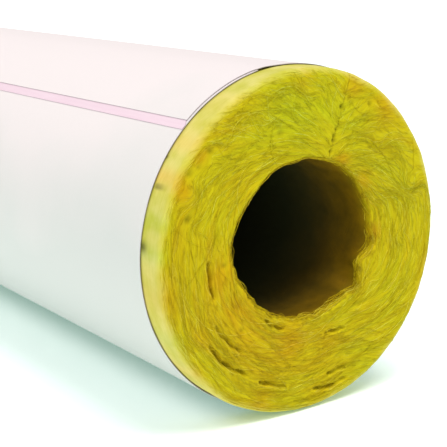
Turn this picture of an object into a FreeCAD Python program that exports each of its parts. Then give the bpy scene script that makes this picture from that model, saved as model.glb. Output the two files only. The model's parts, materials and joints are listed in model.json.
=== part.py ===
"""One section of glass-wool pipe insulation with a closed paper jacket.

Three pieces, in millimetres. The row frame has +X along the sleeve's axis and +Z up, with
its origin on that axis at mid-length; the sleeve lies on its side. Angles round the axis
are counted from +Y towards +Z.

- glass_wool_sleeve: the moulded wool cylinder, with its bore for the pipe and the single
  knife slit, through one wall, that lets it be opened and sprung over the pipe.
- paper_jacket: one laminated sheet wrapped once round the wool and on past its own first
  edge as a lap. It is shorter than the wool, so a band of bare wool shows at each end.
- lap_release_strip: the film strip between the lap and the sheet under it, tucked under
  the lap's free edge and standing out a little way past it.
"""

import FreeCAD
import Part
import math
import os

# Wool sleeve: the nominal 3 in pipe size with a 2 in wall, in the 36 in length it is sold in.
SLEEVE_LENGTH = 914.4
BORE_DIAMETER = 89.7
WALL_THICKNESS = 51.9
END_EDGE_RADIUS = 2.0
SLIT_WIDTH = 0.8
SLIT_ANGLE = 72.5

# Paper jacket.
JACKET_THICKNESS = 0.4
JACKET_SETBACK = 16.7
FIRST_EDGE_ANGLE = 103.0
LAP_WIDTH = 50.8
CLIMB_BEND_RADIUS = 40.0

# Release strip.
STRIP_THICKNESS = 0.3
STRIP_SHOWING = 5.8
STRIP_TUCKED = 25.0

# Worked out from the values above.
BORE_RADIUS = BORE_DIAMETER / 2
SLEEVE_RADIUS = BORE_RADIUS + WALL_THICKNESS
JACKET_LENGTH = SLEEVE_LENGTH - 2 * JACKET_SETBACK
JACKET_OUTSIDE = SLEEVE_RADIUS + JACKET_THICKNESS
LAP_INSIDE = JACKET_OUTSIDE + STRIP_THICKNESS
LAP_OUTSIDE = LAP_INSIDE + JACKET_THICKNESS
LAP_EDGE_ANGLE = FIRST_EDGE_ANGLE + math.degrees(LAP_WIDTH / LAP_INSIDE)
CUT_MARGIN = 5.0

ALONG = FreeCAD.Vector(1, 0, 0)
CENTRE = FreeCAD.Vector(0, 0, 0)


def direction(angle):
    """The unit vector that points out from the axis at an angle."""
    turn = math.radians(angle)
    return FreeCAD.Vector(0, math.cos(turn), math.sin(turn))


def arc(centre, radius, start, end):
    """An arc in the plane across the sleeve, from one angle round its centre to another."""
    ends_and_middle = [centre + direction(a) * radius for a in (start, (start + end) / 2, end)]
    return Part.Arc(*ends_and_middle).toShape()


def line(start, end):
    """A straight edge."""
    return Part.LineSegment(start, end).toShape()


def extrude_outline(edges, length):
    """A solid with this closed outline as its section, centred along the sleeve."""
    section = Part.Face(Part.Wire(edges))
    section.translate(ALONG * (-length / 2))
    return section.extrude(ALONG * length)


def cylinder(radius, length):
    """A cylinder on the sleeve's axis, centred on the origin."""
    return Part.makeCylinder(radius, length, ALONG * (-length / 2), ALONG)


def slit_blade():
    """The thin slab that cuts the slit, from inside the bore to past the outside."""
    reach = SLEEVE_RADIUS + CUT_MARGIN
    length = SLEEVE_LENGTH + 2 * CUT_MARGIN
    blade = Part.makeBox(length, reach, SLIT_WIDTH)
    blade.translate(FreeCAD.Vector(-length / 2, 0, -SLIT_WIDTH / 2))
    blade.rotate(CENTRE, ALONG, SLIT_ANGLE)
    return blade


def glass_wool_sleeve():
    """The wool cylinder with softened end edges, less its bore and its slit."""
    blank = cylinder(SLEEVE_RADIUS, SLEEVE_LENGTH)
    end_edges = [e for e in blank.Edges if isinstance(e.Curve, Part.Circle)]
    blank = blank.makeFillet(END_EDGE_RADIUS, end_edges)
    bore = cylinder(BORE_RADIUS, SLEEVE_LENGTH + 2 * CUT_MARGIN)
    return blank.cut(bore).cut(slit_blade())


def climb():
    """How the sheet leaves the wool to pass over its own first edge.

    It leaves on a tangent line, then a bend that touches both that line and the lap's
    circle brings it round onto the lap, which it reaches above the first edge. Returns the
    angle where it leaves, the line's length, and the bend's centre.
    """
    bend_centre_reach = LAP_INSIDE - CLIMB_BEND_RADIUS
    bend_centre_height = SLEEVE_RADIUS - CLIMB_BEND_RADIUS
    line_length = math.sqrt(bend_centre_reach**2 - bend_centre_height**2)
    leaving = FIRST_EDGE_ANGLE - math.degrees(math.atan2(line_length, bend_centre_height))
    onward = direction(leaving + 90)
    bend_centre = direction(leaving) * bend_centre_height + onward * line_length
    return leaving, line_length, bend_centre


def sheet_side(offset):
    """One side of the jacket's section, from the first edge to the lap's free edge.

    The side lies at this offset out from the sheet's inner side.
    """
    leaving, line_length, bend_centre = climb()
    wound = SLEEVE_RADIUS + offset
    lap = LAP_INSIDE + offset
    full_turn = 360
    wrap = arc(CENTRE, wound, FIRST_EDGE_ANGLE, leaving + full_turn)
    foot = direction(leaving) * wound
    ramp = line(foot, foot + direction(leaving + 90) * line_length)
    bend = arc(bend_centre, CLIMB_BEND_RADIUS + offset, leaving, FIRST_EDGE_ANGLE)
    flap = arc(CENTRE, lap, FIRST_EDGE_ANGLE, LAP_EDGE_ANGLE)
    return [wrap, ramp, bend, flap]


def paper_jacket():
    """The jacket: a sheet whose two sides are joined at its first edge and its lap's edge."""
    inner = sheet_side(0)
    outer = sheet_side(JACKET_THICKNESS)
    first = direction(FIRST_EDGE_ANGLE)
    free = direction(LAP_EDGE_ANGLE)
    first_edge = line(first * JACKET_OUTSIDE, first * SLEEVE_RADIUS)
    lap_edge = line(free * LAP_INSIDE, free * LAP_OUTSIDE)
    return extrude_outline([first_edge, *inner, lap_edge, *reversed(outer)], JACKET_LENGTH)


def lap_release_strip():
    """The film strip that lies on the wrapped sheet and under the lap's free edge."""
    tucked_end = LAP_EDGE_ANGLE - math.degrees(STRIP_TUCKED / JACKET_OUTSIDE)
    showing_end = LAP_EDGE_ANGLE + math.degrees(STRIP_SHOWING / JACKET_OUTSIDE)
    under = arc(CENTRE, JACKET_OUTSIDE, tucked_end, showing_end)
    over = arc(CENTRE, LAP_INSIDE, tucked_end, showing_end)
    ends = [
        line(direction(a) * JACKET_OUTSIDE, direction(a) * LAP_INSIDE)
        for a in (tucked_end, showing_end)
    ]
    return extrude_outline([under, ends[1], over, ends[0]], JACKET_LENGTH)


PIECES = {
    "glass_wool_sleeve": glass_wool_sleeve,
    "paper_jacket": paper_jacket,
    "lap_release_strip": lap_release_strip,
}

os.makedirs("parts", exist_ok=True)
for name, make in PIECES.items():
    piece = make()
    if not piece.isValid():
        raise ValueError(f"{name} is not a valid solid")
    piece.exportStep(f"parts/{name}.step")
    print(f"{name}: {len(piece.Solids)} solid, {piece.Volume / 1000:.1f} cm3")
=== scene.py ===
# %% [markdown]
# # One section of glass-wool pipe insulation
#
# It is a hollow cylinder of yellow glass wool, sprung over a pipe through one lengthwise
# slit. A white paper jacket is wrapped round it and glued along a lap, and a pink film strip
# shows beside the lap. A packed construction model settled the sizes and places. This lesson
# makes a surface with numpy, and a material from shader nodes, for each of its three pieces.

import json
import math

import bpy
import numpy as np
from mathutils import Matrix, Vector


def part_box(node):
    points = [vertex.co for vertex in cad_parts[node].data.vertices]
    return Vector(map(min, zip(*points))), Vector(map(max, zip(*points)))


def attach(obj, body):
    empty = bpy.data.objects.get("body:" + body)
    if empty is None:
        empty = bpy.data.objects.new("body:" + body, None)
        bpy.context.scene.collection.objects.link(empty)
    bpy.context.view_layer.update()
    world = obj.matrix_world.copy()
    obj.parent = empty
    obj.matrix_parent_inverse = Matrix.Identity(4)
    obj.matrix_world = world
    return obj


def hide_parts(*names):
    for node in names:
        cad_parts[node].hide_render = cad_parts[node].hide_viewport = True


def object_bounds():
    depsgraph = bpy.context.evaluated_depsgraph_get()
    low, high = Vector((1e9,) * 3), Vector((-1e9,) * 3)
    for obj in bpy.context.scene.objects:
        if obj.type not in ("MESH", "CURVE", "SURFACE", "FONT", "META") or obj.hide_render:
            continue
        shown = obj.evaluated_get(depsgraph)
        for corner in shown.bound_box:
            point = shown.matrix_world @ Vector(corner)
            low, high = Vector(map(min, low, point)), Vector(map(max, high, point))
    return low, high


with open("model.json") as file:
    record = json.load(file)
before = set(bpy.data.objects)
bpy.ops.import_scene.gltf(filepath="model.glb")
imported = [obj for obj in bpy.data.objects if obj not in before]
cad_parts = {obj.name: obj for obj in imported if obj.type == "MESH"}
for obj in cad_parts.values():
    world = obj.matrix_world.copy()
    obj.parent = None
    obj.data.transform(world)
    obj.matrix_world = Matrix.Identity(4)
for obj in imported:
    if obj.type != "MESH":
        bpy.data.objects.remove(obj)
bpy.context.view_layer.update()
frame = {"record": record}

# %% [markdown]
# ## Sizes
#
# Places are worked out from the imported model's boxes and its bore, so a changed model changes
# the looks with it. Thin things, such as the paper, can't be read off a box, so they are
# named here. Angles are counted round the axis from +Y towards +Z. Lengths are in metres.

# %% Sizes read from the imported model
MM = 0.001
TURN = 2 * math.pi
wool_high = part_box("glass_wool_sleeve")[1]
jacket_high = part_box("paper_jacket")[1]
strip_low, strip_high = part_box("lap_release_strip")
END_X = wool_high.x
WOOL_RADIUS = wool_high.z
JACKET_END = jacket_high.x
pipe_bore = next(m for m in frame["record"]["mounts"] if m["name"] == "pipe_bore")
BORE_RADIUS = pipe_bore["dims"]["r_mm"] * MM
print(f"wool: {END_X * 2:.4f} m long, radius {WOOL_RADIUS:.5f}, bore radius {BORE_RADIUS:.5f}")

# %% Thin things and the places round the axis
PAPER = 0.4 * MM
FILM = 0.3 * MM
STRIP_SHOWING = 5.8 * MM
SLIT_ANGLE = 72.5
FIRST_EDGE_ANGLE = 103.0
JACKET_OUTSIDE = WOOL_RADIUS + PAPER
STRIP_FAR_ANGLE = math.degrees(math.atan2(strip_low.z, strip_low.y))
STRIP_TUCKED_ANGLE = math.degrees(math.atan2(strip_high.z, strip_high.y))
LAP_EDGE_ANGLE = STRIP_FAR_ANGLE - math.degrees(STRIP_SHOWING / JACKET_OUTSIDE)
print(f"lap from {FIRST_EDGE_ANGLE} to {LAP_EDGE_ANGLE:.1f}, film to {STRIP_FAR_ANGLE:.1f} degrees")

# %% [markdown]
# ## The camera, the floor and the light
#
# The camera looks down the sleeve's length from one end, a little from above. Its place is
# given in wool radii from the middle of the near cut end, so that it follows the sleeve. A
# long lens keeps the round end from looking stretched.

# %% Camera
CAMERA_REACH = (4.946, -4.113, 1.6055)
CAMERA_YAW = 144.492
CAMERA_PITCH = -13.052
LENS = 93.94
SENSOR = 36.0

camera_data = bpy.data.cameras.new("camera")
camera_data.lens = LENS
camera_data.sensor_width = SENSOR
camera_data.clip_end = 100.0
camera = bpy.data.objects.new("camera", camera_data)
bpy.context.collection.objects.link(camera)
camera.location = Vector((END_X, 0, 0)) + Vector(CAMERA_REACH) * WOOL_RADIUS
yaw, pitch = math.radians(CAMERA_YAW), math.radians(CAMERA_PITCH)
looking = Vector(
    (math.cos(pitch) * math.cos(yaw), math.cos(pitch) * math.sin(yaw), math.sin(pitch))
)
camera.rotation_mode = "QUATERNION"
camera.rotation_quaternion = looking.to_track_quat("-Z", "Y")
bpy.context.scene.camera = camera
print("camera at", [round(c, 3) for c in camera.location])

# %% [markdown]
# The light is an even sky with three wide suns, which light the whole floor evenly and blur
# every shadow. The key, overhead, makes the jacket's top brighter than its side. The one from
# the camera's side keeps the shadow short, and a weak fill comes from beside the camera. The
# standard view keeps yellows as strong as they are in the materials.

# %% Light
SKY_STRENGTH = 0.48
SUNS = {
    "key": {"from": (0.3, 0.1, 1.0), "strength": 1.80, "angle": 30},
    "side": {"from": (0.3, -0.8, 1.0), "strength": 0.80, "angle": 22},
    "fill": {"from": (1.0, -0.7, 0.35), "strength": 0.30, "angle": 80},
}

world = bpy.data.worlds.new("studio")
world.use_nodes = True
sky = world.node_tree.nodes["Background"]
sky.inputs["Color"].default_value = (1, 1, 1, 1)
sky.inputs["Strength"].default_value = SKY_STRENGTH
bpy.context.scene.world = world
for name, sun in SUNS.items():
    lamp = bpy.data.lights.new(name, "SUN")
    lamp.energy = sun["strength"]
    lamp.angle = math.radians(sun["angle"])
    lamp_object = bpy.data.objects.new(name, lamp)
    lamp_object.rotation_euler = Vector(sun["from"]).to_track_quat("Z", "Y").to_euler()
    bpy.context.collection.objects.link(lamp_object)
bpy.context.scene.view_settings.view_transform = "Standard"
print("sky and", len(SUNS), "suns")

# %% [markdown]
# ## Helpers for surfaces
#
# Every piece is a grid of points, worked out as whole arrays. One helper puts them into a
# mesh, and another lists the faces of a grid that may close on itself, as a tube's does.


# %% From arrays to a mesh
def new_mesh_object(name, points, faces, corner_maps, point_values=None, finishes=None):
    """A mesh object from an array of points and a list of face arrays.

    A face array has a row of point numbers for each face. A corner map is a UV map, with
    one (u, v) for each face corner. A point value is one number for each point, and finishes
    says which of the piece's materials each face array has. All faces are shaded smooth.
    """
    mesh = bpy.data.meshes.new(name)
    mesh.vertices.add(len(points))
    mesh.vertices.foreach_set("co", points.astype(np.float32).ravel())
    corners = np.concatenate([f.ravel() for f in faces]).astype(np.int32)
    sides = np.concatenate([np.full(len(f), f.shape[1]) for f in faces]).astype(np.int32)
    mesh.loops.add(len(corners))
    mesh.loops.foreach_set("vertex_index", corners)
    mesh.polygons.add(len(sides))
    mesh.polygons.foreach_set("loop_start", np.concatenate([[0], np.cumsum(sides)[:-1]]))
    mesh.polygons.foreach_set("use_smooth", np.ones(len(sides), bool))
    if finishes:
        numbers = np.concatenate([np.full(len(f), n) for f, n in zip(faces, finishes)])
        mesh.polygons.foreach_set("material_index", numbers.astype(np.int32))
    for label, places in corner_maps.items():
        layer = mesh.uv_layers.new(name=label)
        layer.uv.foreach_set("vector", places.astype(np.float32).ravel())
    for label, values in (point_values or {}).items():
        held = mesh.attributes.new(label, "FLOAT", "POINT")
        held.data.foreach_set("value", values.astype(np.float32).ravel())
    mesh.update(calc_edges=True)
    mesh.validate()
    piece = bpy.data.objects.new(name, mesh)
    bpy.context.collection.objects.link(piece)
    print(f"{name}: {len(points)} points, {(sides - 2).sum()} triangles")
    return piece


# %% The faces of a grid
def grid_faces(rows, columns, close_rows=False, close_columns=False):
    """Quads between the neighbours of a grid, whose point (i, j) is number i * columns + j.

    A closed direction joins its last line of points to its first. Also returns each quad's
    row and column, which a UV map is worked out from.
    """
    row, column = np.meshgrid(
        np.arange(rows - (not close_rows)), np.arange(columns - (not close_columns)), indexing="ij"
    )
    row, column = row.ravel(), column.ravel()
    next_row, next_column = (row + 1) % rows, (column + 1) % columns
    corners = ((row, column), (next_row, column), (next_row, next_column), (row, next_column))
    return np.stack([i * columns + j for i, j in corners], axis=1), row, column


def grid_map(row, column, u_steps, v_steps):
    """A UV map that keeps a grid's quads side by side: u by column and v by row.

    u_steps and v_steps say where each line of the grid lies, with one line more than there
    are quads that way.
    """
    u = np.stack([u_steps[column + side] for side in (0, 0, 1, 1)], axis=1)
    v = np.stack([v_steps[row + side] for side in (0, 1, 1, 0)], axis=1)
    return np.stack([u, v], axis=2).reshape(-1, 2)


# %% [markdown]
# ## Noise
#
# Wool is irregular at every scale, but has to be the same in each run, so the noise comes from
# seeded random slopes on a lattice. Round the sleeve the lattice closes, so no seam shows.


# %% Noise that closes on itself, and smooth steps
NOISE_ROWS = 256


def noise(u, v, cells, seed):
    """Smooth noise, from about -1 to 1, that repeats every `cells` in u.

    Every whole-number corner of the (u, v) lattice holds a random direction. Each of a
    point's four corners gives that direction times the step from the corner to the point,
    and they are blended by 6t^5 - 15t^4 + 10t^3 across the cell.
    """
    slopes = np.random.default_rng(seed).uniform(0, TURN, (cells, NOISE_ROWS))
    column, row = np.floor(u).astype(int), np.floor(v).astype(int)
    a, b = u - column, v - row
    blend_a, blend_b = (t**3 * (t * (6 * t - 15) + 10) for t in (a, b))

    def corner(right, up):
        slope = slopes[(column + right) % cells, (row + up) % NOISE_ROWS]
        return np.cos(slope) * (a - right) + np.sin(slope) * (b - up)

    low = corner(0, 0) * (1 - blend_a) + corner(1, 0) * blend_a
    high = corner(0, 1) * (1 - blend_a) + corner(1, 1) * blend_a
    return 1.6 * (low * (1 - blend_b) + high * blend_b)


def step(value, start, end):
    """0 before start and 1 after end, by 3t^2 - 2t^3 in between."""
    t = np.clip((value - start) / (end - start), 0, 1)
    return t * t * (3 - 2 * t)


def past(turn, angle):
    """How many degrees, from -180 to 180, each turn in radians is past an angle."""
    return (np.degrees(turn) - angle + 180) % 360 - 180


def bell(widths):
    """How much is left this many widths away from a middle: e to the minus their square."""
    return np.exp(-(widths**2))


def hump(turn, angle, width, power=2):
    """A hump of height 1 round an angle: e to the minus (degrees past it / width)^power."""
    return np.exp(-(np.abs(past(turn, angle) / width) ** power))


def humps(turn, features):
    """A sum of humps round the axis, each as (angle, half width, power, height)."""
    return sum(height * hump(turn, *shape) for *shape, height in features)


def ripples(turn, v, seed, waves):
    """A sum of noises that close round the axis, each as (height, cells round, grain in v)."""
    return sum(
        height * noise(turn / TURN * cells, v / grain, cells, seed + number)
        for number, (height, cells, grain) in enumerate(waves)
    )


def round_axis(x, radius, turn):
    """Points at these places along the axis, distances from it and turns round it."""
    return np.stack([x, radius * np.cos(turn), radius * np.sin(turn)], axis=-1)


print("noise at four places:", np.round(noise(np.arange(4) + 0.5, np.full(4, 0.5), 8, 1), 2))

# %% [markdown]
# ## How the wool lies
#
# A sleeve is wound from thin layers of glass fibre and baked hard. On the sawn ends their
# edges show as fine wavy lines that run round the bore. In places they buckle into swirls,
# part into dark crevices, or were pulled across each other by the saw.
#
# One function says which layer a point of the cut end is in. Its level lines are where the
# fibres lie, so the relief, the colours and the loose strands all follow it. Each end has
# features of its own, listed by angle and by share of the wool's radius.

# %% The features of the two cut ends
NEAR, FAR = 1, -1
SEED = {NEAR: 100, FAR: 500}
# Where the saw pulled the fibres across each other: the middle angle, and half the width.
TANGLED = {NEAR: (92, 52), FAR: (250, 60)}
# Where the layers slope: (first angle, last angle, how much their number rises), counting
# angles on from the slit, so that 432.5 degrees is the slit again.
LIFTS = {
    NEAR: [(40, 165, -50), (283, 342, -25), (368, 470, 52), (372, 386, 7)],
    FAR: [(40, 120, -28), (205, 250, 16), (330, 475, 40)],
}
LAYER_SPREAD = 30
CLOSE_LAYERS = 12
# (angle, share of radius, size in mm, how much the layers' number rises there)
SWIRLS = {
    NEAR: [
        (17.6, 0.84, 6.8, 8.5), (154, 0.87, 6.0, 4.0), (138, 0.88, 5.0, -2.6),
        (165, 0.80, 5.5, -3.2), (113, 0.74, 6.5, 3.4), (84, 0.84, 6.0, -3.0),
        (45, 0.74, 7.0, 3.4), (58, 0.88, 5.0, -2.6), (-5, 0.70, 5.5, 2.6), (-33, 0.56, 5.0, 5.0),
        (-100, 0.60, 5.0, 2.6), (-62, 0.62, 5.0, -2.6),
    ],
    FAR: [
        (30, 0.80, 6.0, 4.0), (118, 0.70, 5.0, -3.0), (200, 0.86, 5.0, 3.0),
        (262, 0.72, 7.0, 4.5), (310, 0.82, 6.0, -3.5),
    ],
}
# (first angle, last angle, share of radius at the first, the middle and the last, depth in mm)
CREVICES = {
    NEAR: [
        (-180, -161, 0.682, 0.678, 0.690, 4.5), (-145, -121, 0.820, 0.832, 0.812, 4.5),
        (-114, -99, 0.828, 0.832, 0.842, 3.0), (-86, -70, 0.888, 0.912, 0.932, 4.0),
        (-79, -69, 0.822, 0.838, 0.858, 3.5), (-128, -108, 0.500, 0.507, 0.502, 2.5),
        (-76, -62, 0.575, 0.600, 0.630, 2.6), (-150, -128, 0.735, 0.728, 0.722, 2.2),
    ],
    FAR: [
        (20, 44, 0.70, 0.69, 0.70, 4.0), (80, 106, 0.86, 0.85, 0.87, 5.0),
        (170, 190, 0.63, 0.64, 0.63, 3.5), (215, 240, 0.80, 0.79, 0.80, 4.0),
        (330, 352, 0.88, 0.89, 0.88, 4.0),
    ],
}
# Small holes in the cut: (angle, share of radius, size in mm, depth in mm)
PITS = {
    NEAR: [
        (148.5, 0.935, 1.8, 1.3), (138, 0.895, 1.7, 1.5), (163, 0.845, 2.2, 1.8),
        (145, 0.90, 1.6, 1.0), (107, 0.68, 2.4, 1.2), (72.6, 0.800, 1.5, 1.9),
        (72.8, 0.668, 1.2, 0.9), (72.7, 0.630, 1.3, 1.4), (72.2, 0.603, 1.4, 1.6),
        (72.5, 0.540, 1.3, 1.1), (66, 0.775, 1.1, 0.8), (59.5, 0.885, 1.2, 1.6),
        (-137, 0.63, 1.7, 1.2), (-176, 0.58, 1.7, 1.2),
    ],
    FAR: [
        (60, 0.80, 1.6, 4.0), (150, 0.72, 1.4, 3.5), (285, 0.66, 1.5, 3.5), (300, 0.90, 1.4, 3.0),
    ],
}
print("features:", {end: len(SWIRLS[end]) + len(CREVICES[end]) + len(PITS[end]) for end in SEED})


# %% Which layer a point is in
def distance_to(turn, radius, angle, share):
    """How far, in mm, points of the cut are from the one at this angle and share of radius."""
    there = math.radians(angle)
    reach = share * WOOL_RADIUS
    y = radius * np.cos(turn) - reach * math.cos(there)
    z = radius * np.sin(turn) - reach * math.sin(there)
    return np.hypot(y, z) / MM


def spots(turn, radius, features):
    """A sum of round humps on the cut, each as (angle, share of radius, size in mm, height)."""
    return sum(
        height * bell(distance_to(turn, radius, angle, share) / size)
        for angle, share, size, height in features
    )


def tangle(turn, radius, end):
    """How crossed the fibres are, from 0, laid round the sleeve, to 1, lying every way."""
    middle, width = TANGLED[end]
    outward = step(radius, BORE_RADIUS * 1.1, BORE_RADIUS * 1.5)
    patches = ripples(turn, radius / MM, SEED[end] + 9, [(0.25, 11, 18)])
    return np.clip(0.05 + 0.45 * hump(turn, middle, width, 4) * outward + patches, 0, 1)


def past_slit(turn):
    """The same turns, counted on from the slit: from its angle to one whole turn more."""
    slit = math.radians(SLIT_ANGLE)
    return slit + np.mod(turn - slit, TURN)


def layer_of(turn, radius, end):
    """A number that is the same along each layer, and grows outward by about 1 a millimetre.

    It starts as the logarithm of how far outside the bore a point is, because the layers lie
    closer together there. The lifts make them slope down to the slit on both sides. A long
    wave and a short wave bend them, and each swirl adds a round hump, so steep that the level
    lines close on themselves. Turns are counted on from the slit, where the sides needn't meet.
    """
    mm = radius / MM
    loose = 0.7 + 0.5 * tangle(turn, radius, end)
    above_bore = np.clip(mm - BORE_RADIUS / MM, -8, None) + CLOSE_LAYERS
    layer = LAYER_SPREAD * np.log(above_bore)
    for first, last, rise in LIFTS[end]:
        layer = layer + rise * step(np.degrees(turn), first, last)
    bends = ripples(turn, mm, SEED[end], [(1.5, 13, 19), (0.55, 38, 8)])
    return layer + loose * bends + spots(turn, radius, SWIRLS[end])


def lie_of(turn, radius, end):
    """The direction, in the (round, outward) plane, of the layer through each point.

    It is the layer's slope turned by a quarter: (slope outward, minus slope round), made one
    long. The slopes are differences over a quarter of a millimetre.
    """
    small = 0.25 * MM
    turn = past_slit(turn)
    here = layer_of(turn, radius, end)
    round_slope = layer_of(turn + small / radius, radius, end) - here
    out_slope = layer_of(turn, radius + small, end) - here
    length = np.hypot(round_slope, out_slope) + 1e-9
    return out_slope / length, -round_slope / length


sample_turn = np.linspace(0, TURN, 12, endpoint=False)
print("tangle round the near end:", np.round(tangle(sample_turn, 0.075, NEAR), 2))

# %% [markdown]
# ## The edges of the cut end
#
# The mouth of the bore is worn back on one side, and at the bottom tufts hang into it. The
# outer rim is only slightly out of round. Both are sums of a few humps, which fade out within
# a couple of centimetres of the end.

# %% How the mouth and the rim stray from their circles
# (angle, half width in degrees, power of the hump, how far outward in mm)
MOUTH = {
    NEAR: [
        (60, 110, 6, 2.6), (176, 27, 2, 5.6), (120, 14, 2, 1.0), (58, 10, 2, 1.0),
        (-7, 7, 2, 3.2), (-23, 6, 2, -4.2), (-39, 6, 2, 3.8), (-88, 38, 4, -1.8),
    ],
    FAR: [(40, 60, 4, 2.4), (150, 30, 2, 2.0), (235, 25, 2, 3.0), (300, 30, 4, -1.4)],
}
RIM = {
    NEAR: [(35, 30, 2, -0.6), (-45, 34, 2, 1.5), (150, 40, 2, -0.3)],
    FAR: [(100, 30, 2, 0.8), (250, 40, 2, -0.7)],
}
MOUTH_FADE = 13 * MM
RIM_FADE = 10.5 * MM
TUFTS_ANGLE = -105
BARE_BAND = END_X - JACKET_END
DRAWN_IN = 0.12
LIP_ROUND = 2.2 * MM
RIM_ROUND = 3.6 * MM


def inner_radius(turn, depth, end):
    """The bore's radius at each turn and depth behind the cut.

    It is the true bore, plus the mouth's humps and a raggedness that fade with depth, plus
    the wall's own slight unevenness.
    """
    mm = depth / MM
    fade = np.exp(-((depth / MOUTH_FADE) ** 1.5))
    ragged = 0.45 + 0.95 * hump(turn, TUFTS_ANGLE, 80, 4) * (end == NEAR)
    ragged = ragged * ripples(turn, mm, SEED[end] + 20, [(1, 34, 9), (0.65, 110, 5)])
    stray = humps(turn, MOUTH[end]) + ragged
    wall = ripples(turn, mm, SEED[end] + 22, [(0.5, 24, 14), (0.3, 52, 30)])
    return BORE_RADIUS + (stray * fade + wall * (1 - 0.5 * fade)) * MM


def outer_radius(turn, depth, end):
    """The wool's outside radius: its circle plus the rim's humps, which fade with depth.

    The skin is drawn in a little, and twice as far under the jacket, to leave room for the
    paper. Where it is bare it is slightly uneven.
    """
    stray = humps(turn, RIM[end]) * bell(depth / RIM_FADE)
    bare = 1 - step(depth, BARE_BAND - 4 * MM, BARE_BAND + 2 * MM)
    uneven = ripples(turn, depth / MM, SEED[end] + 30, [(0.28, 34, 11), (0.16, 90, 5)])
    return WOOL_RADIUS + (stray + uneven * bare - DRAWN_IN * (2 - bare)) * MM


def rounded_corner(inside, size):
    """How deep a quarter-round corner of this size is, this far inside its edge."""
    left = 1 - np.clip(inside / size, 0, 1)
    return size * (1 - np.sqrt(1 - left**2))


mouth = inner_radius(sample_turn, 0.0, NEAR) / WOOL_RADIUS
print("near mouth, shares of the wool's radius:", np.round(mouth, 3))

# %% [markdown]
# ## The relief of the cut
#
# Along each layer the cut is nearly level, and across the layers it rises and falls every
# millimetre or two, so its noise is read at (way round, layer). Crevices are narrow valleys
# with a raised lip on their outer side.


# %% How far the cut stands out of its plane
# Across a crevice, in mm: its half width, and its lip's place, half width and height.
CREVICE_WIDTH = 1.0
LIP_AWAY, LIP_WIDTH, LIP_HEIGHT = 2.0, 0.8, 0.9
# How much paler each crevice's lip is painted, as light on its crest.
LIP_PAINTED_LIGHT = 1.6


def crevice(turn, mm, feature):
    """One crevice: its valley's depth in mm, and the height of the lip outside it.

    The curve's share of radius is a parabola through the three given ones. Across it the
    depth falls as e to the minus (distance / width)^2, and along it as a half circle.
    """
    first, last, share_a, share_b, share_c, deep = feature
    t = np.clip(past(turn, (first + last) / 2) / (last - first) + 0.5, 0, 1)
    share = share_a * (1 - t) * (1 - 2 * t) + share_b * 4 * t * (1 - t) + share_c * t * (2 * t - 1)
    wander = ripples(turn, 0.5, 7, [(1, 60, 1)])
    rough = ripples(turn, 0.5, 8, [(0.6, 96, 1)])
    across = mm - share * WOOL_RADIUS / MM - wander
    along = np.sqrt(np.clip(4 * t * (1 - t), 0, 1)) * np.clip(0.85 + rough, 0.1, 1.3)
    valley = deep * along * bell(across / CREVICE_WIDTH)
    return valley, LIP_HEIGHT * along * bell((across - LIP_AWAY) / LIP_WIDTH)


def relief(turn, radius, end):
    """How far, in mm, the cut stands out at each point, and its fine part with the lips, for
    painting crests paler and valleys darker.
    """
    layer = layer_of(turn, radius, end)
    broad = ripples(turn, layer, SEED[end] + 40, [(0.42, 20, 7.5)])
    crest = ripples(turn, layer, SEED[end] + 41, [(0.22, 26, 2.8), (0.18, 60, 1.6)])
    height = broad + crest - spots(turn, radius, PITS[end])
    for feature in CREVICES[end]:
        valley, raised = crevice(turn, radius / MM, feature)
        height = height - valley + raised
        crest = crest + LIP_PAINTED_LIGHT * raised
    return height, crest


def cut_depth(turn, radius, end):
    """How deep behind its plane the cut lies: its rounded corners less its relief."""
    mouth_edge = inner_radius(turn, 0.0, end)
    rim_edge = outer_radius(turn, 0.0, end)
    corners = rounded_corner(radius - mouth_edge, LIP_ROUND)
    corners = corners + rounded_corner(rim_edge - radius, RIM_ROUND)
    level = step(rim_edge - radius, 0, RIM_ROUND) * step(radius - mouth_edge, -MM, LIP_ROUND)
    return corners - level * relief(turn, radius, end)[0] * MM


print("relief at 75 mm:", np.round(relief(sample_turn, np.full(12, 0.075), NEAR)[0], 2), "mm")

# %% [markdown]
# ## The wool body
#
# The body is one closed surface: the wool's section, a long rectangle with softened corners,
# carried round the axis from one face of the slit to the other. A row of the grid is one
# station of that section, and a column is one angle. The rows crowd together on the cut ends,
# where the wool is seen. One polygon closes each face of the slit.


# %% The rows of the section, for one end
def spread(start, end, count, power=1.0):
    """Numbers from start to end, closer together near the start for a power over 1."""
    return start + (end - start) * np.linspace(0, 1, count) ** power


ARC_ROWS = 4
FACE_ROWS = 58
QUARTER = np.linspace(0, math.pi / 2, ARC_ROWS + 1)
LONGEST = END_X * 0.98

bore_depths = spread(LIP_ROUND, LONGEST, 15, 2.6)[::-1]
lip_inside = LIP_ROUND * (1 - np.cos(QUARTER))[1:]
rim_inside = RIM_ROUND * (1 - np.sin(QUARTER))[:-1]
band_depths = np.concatenate([spread(RIM_ROUND, 22 * MM, 17), [60 * MM, 200 * MM, LONGEST]])
SECTION_ROWS = len(bore_depths) + ARC_ROWS + FACE_ROWS + ARC_ROWS + len(band_depths)
print("rows for one end:", SECTION_ROWS)

# %% The columns, crowded beside the slit
COLUMNS = 396
slit_turn = math.radians(SLIT_ANGLE)
beside_slit = np.array([0.0, 0.008, 0.018, 0.030])
even = np.linspace(0.044, TURN - 0.044, COLUMNS)
column_turns = slit_turn + np.concatenate([beside_slit, even, TURN - beside_slit[::-1]])
# How much of the slit's half width each column gives way by, so that none is crossed.
giving_way = np.zeros(len(column_turns))
giving_way[:4] = (1.0, 0.8, 0.5, 0.2)
giving_way[-4:] = (-0.2, -0.5, -0.8, -1.0)
print("columns:", len(column_turns))

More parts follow.
